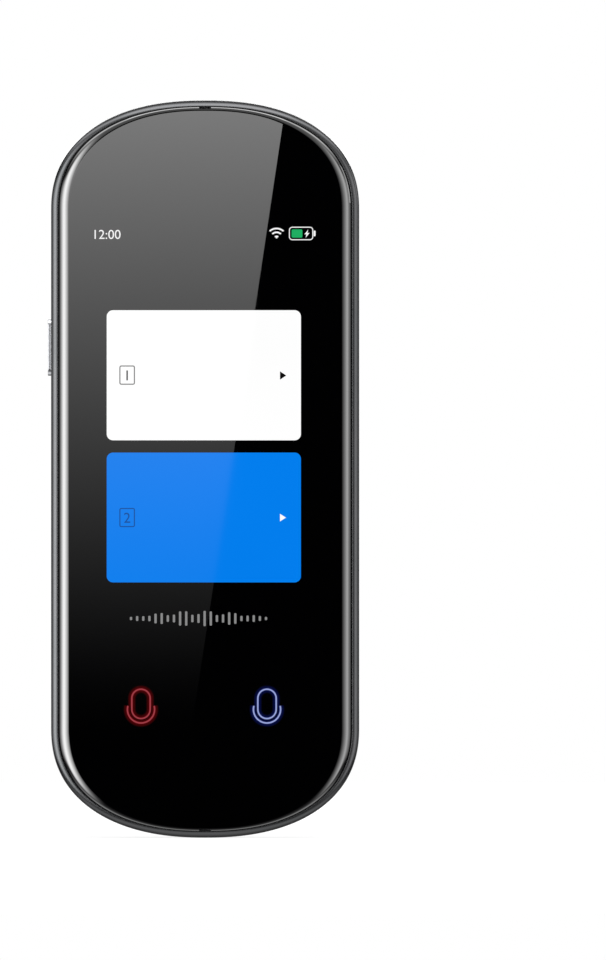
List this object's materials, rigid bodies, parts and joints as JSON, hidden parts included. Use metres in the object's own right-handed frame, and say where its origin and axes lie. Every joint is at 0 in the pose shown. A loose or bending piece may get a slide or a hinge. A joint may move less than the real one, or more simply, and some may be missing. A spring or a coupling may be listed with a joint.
{
  "type": "handheld translator",
  "caption": "Capsule-shaped handheld translator with a touch screen, a rear camera and speaker, a side key and a USB-C port.",
  "frame": {"origin": "centre of the flat raised field on the back", "axes": "+Z towards the camera end, along the body; the glass faces -Y and the raised back field faces +Y; +X is on the viewer's right, seen from the glass"},
  "size_m": [0.0571, 0.012, 0.135],
  "materials": {
    "gunmetal_paint": "satin metallic paint",
    "frame_metal": "satin, bead-blasted",
    "cover_glass": "polished",
    "adhesive": "matt",
    "touch_film": "clear gloss",
    "lcd_glass": "polished",
    "backlight_steel": "bright",
    "flex_polyimide": "semi-gloss",
    "stamped_steel": "mill finish",
    "circuit_board": "solder resist, gloss",
    "shield_tin": "bright",
    "screw_steel": "nickel plated",
    "cell_foil": "matt foil",
    "tape_white": "matt",
    "port_steel": "bright",
    "port_plastic": "matt",
    "key_chrome": "mirror",
    "switch_plastic": "matt",
    "switch_case": "matt",
    "bezel_black": "satin",
    "camera_glass": "polished, coated",
    "barrel_black": "matt",
    "lens_glass": "coated",
    "module_ceramic": "matt",
    "speaker_plastic": "matt",
    "diaphragm_film": "semi-gloss",
    "rubber": "matt",
    "mesh_black": "matt",
    "mic_gold": "bright"
  },
  "bodies": {
    "housing": {"rear_housing": "gunmetal_paint", "front_frame": "frame_metal", "cover_glass": "cover_glass", "glass_adhesive": "adhesive", "touch_sensor": "touch_film", "lcd_cell": "lcd_glass", "backlight_tray": "backlight_steel", "display_flex": "flex_polyimide", "touch_flex": "flex_polyimide", "chassis_plate": "stamped_steel", "mainboard": "circuit_board", "processor_shield": "shield_tin", "radio_shield": "shield_tin", "board_screws": "screw_steel", "battery_cell": "cell_foil", "battery_board": "circuit_board", "battery_lead": "flex_polyimide", "battery_tape": "tape_white", "port_board": "circuit_board", "port_shell": "port_steel", "port_tongue": "port_plastic", "link_flex": "flex_polyimide", "switch_body": "switch_case", "switch_flex": "flex_polyimide", "camera_bezel": "bezel_black", "camera_window": "camera_glass", "lens_barrel": "barrel_black", "front_lens": "lens_glass", "camera_base": "module_ceramic", "camera_flex": "flex_polyimide", "speaker_box": "speaker_plastic", "speaker_diaphragm": "diaphragm_film", "speaker_gasket": "rubber", "speaker_mesh": "mesh_black", "top_microphone": "mic_gold", "top_mic_boot": "rubber", "bottom_microphone": "mic_gold", "bottom_mic_boot": "rubber", "antenna_flex": "flex_polyimide"},
    "power_key": {"power_key": "key_chrome", "switch_plunger": "switch_plastic"}
  },
  "joints": [
    {"name": "key_press", "type": "slide", "parent": "housing", "child": "power_key", "axis": [1, 0, 0], "range_m": [0, 0.0003], "stiffness_N_per_m": 3000}
  ]
}
